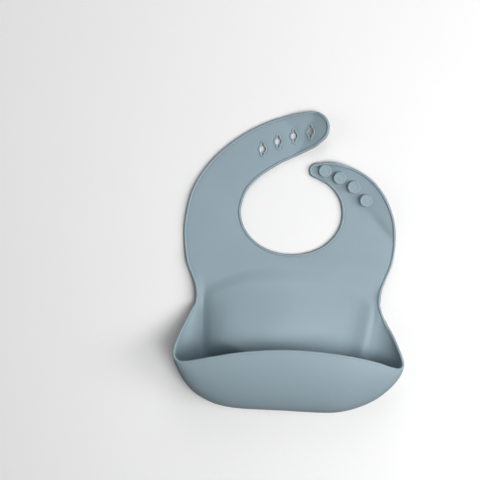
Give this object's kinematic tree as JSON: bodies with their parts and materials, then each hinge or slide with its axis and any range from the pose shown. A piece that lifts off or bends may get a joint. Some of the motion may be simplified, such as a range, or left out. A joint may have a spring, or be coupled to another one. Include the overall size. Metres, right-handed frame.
{
  "type": "silicone baby bib",
  "caption": "Moulded silicone baby bib with a neck opening, button-and-slot strap closure and an open catch pocket along its lower edge.",
  "frame": {"origin": "middle of the bib's outline on the surface that it lies on, with the bib on its back", "axes": "+Z out of the front face, +Y from the pocket towards the neck opening and straps, +X towards the strap that carries the studs"},
  "size_m": [0.2214, 0.2964, 0.046],
  "materials": {
    "silicone": "matt blue-grey food-grade silicone with a soft satin sheen"
  },
  "bodies": {
    "chest": {"chest_panel": "silicone"},
    "slotted_shoulder": {"slotted_strap_shoulder": "silicone"},
    "slotted_middle": {"slotted_strap_middle": "silicone"},
    "slotted_end": {"slotted_strap_end": "silicone", "slot_collar_1": "silicone", "slot_collar_2": "silicone", "slot_collar_3": "silicone", "slot_collar_4": "silicone"},
    "stud_shoulder": {"stud_strap_shoulder": "silicone"},
    "stud_end": {"stud_strap_end": "silicone", "closure_stud_1": "silicone", "closure_stud_2": "silicone", "closure_stud_3": "silicone", "closure_stud_4": "silicone"},
    "pocket": {"pocket_back_wall": "silicone", "pocket_gusset_left": "silicone", "pocket_gusset_right": "silicone"},
    "front_wall": {"pocket_front_wall": "silicone"}
  },
  "joints": [
    {"name": "waist_fold", "type": "hinge", "parent": "chest", "child": "pocket", "pos_m": [0, -0.005, 0.001], "axis": [-1, 0, 0], "range_deg": [-90, 60], "stiffness_Nm_per_rad": 0.02},
    {"name": "pocket_flex", "type": "hinge", "parent": "pocket", "child": "front_wall", "pos_m": [0, -0.135, 0.001], "axis": [1, 0, 0], "range_deg": [-20, 8], "stiffness_Nm_per_rad": 0.4, "deforming": ["pocket_gusset_left", "pocket_gusset_right"]},
    {"name": "slotted_strap_curl", "type": "hinge", "parent": "chest", "child": "slotted_shoulder", "pos_m": [-0.078, 0.03, 0.001], "axis": [1, 0, 0], "range_deg": [-40, 40], "stiffness_Nm_per_rad": 0.0025},
    {"name": "slotted_strap_curl_middle", "type": "hinge", "parent": "slotted_shoulder", "child": "slotted_middle", "pos_m": [-0.07265, 0.06775, 0.001], "axis": [0.9862, -0.1654, 0], "range_deg": [-40, 40], "stiffness_Nm_per_rad": 0.0025},
    {"name": "slotted_strap_curl_end", "type": "hinge", "parent": "slotted_middle", "child": "slotted_end", "pos_m": [-0.041, 0.1027, 0.001], "axis": [0.3988, -0.9171, 0], "range_deg": [-40, 40], "stiffness_Nm_per_rad": 0.0025},
    {"name": "stud_strap_curl", "type": "hinge", "parent": "chest", "child": "stud_shoulder", "pos_m": [0.073, 0.024, 0.001], "axis": [1, 0, 0], "range_deg": [-50, 50], "stiffness_Nm_per_rad": 0.0025},
    {"name": "stud_strap_curl_end", "type": "hinge", "parent": "stud_shoulder", "child": "stud_end", "pos_m": [0.07485, 0.04375, 0.001], "axis": [0.9978, 0.0668, 0], "range_deg": [-50, 50], "stiffness_Nm_per_rad": 0.0025}
  ],
  "couplings": [
    {"joint": "slotted_strap_curl_middle", "follows": "slotted_strap_curl", "ratio": 1},
    {"joint": "slotted_strap_curl_end", "follows": "slotted_strap_curl", "ratio": 1},
    {"joint": "stud_strap_curl_end", "follows": "stud_strap_curl", "ratio": 1}
  ]
}
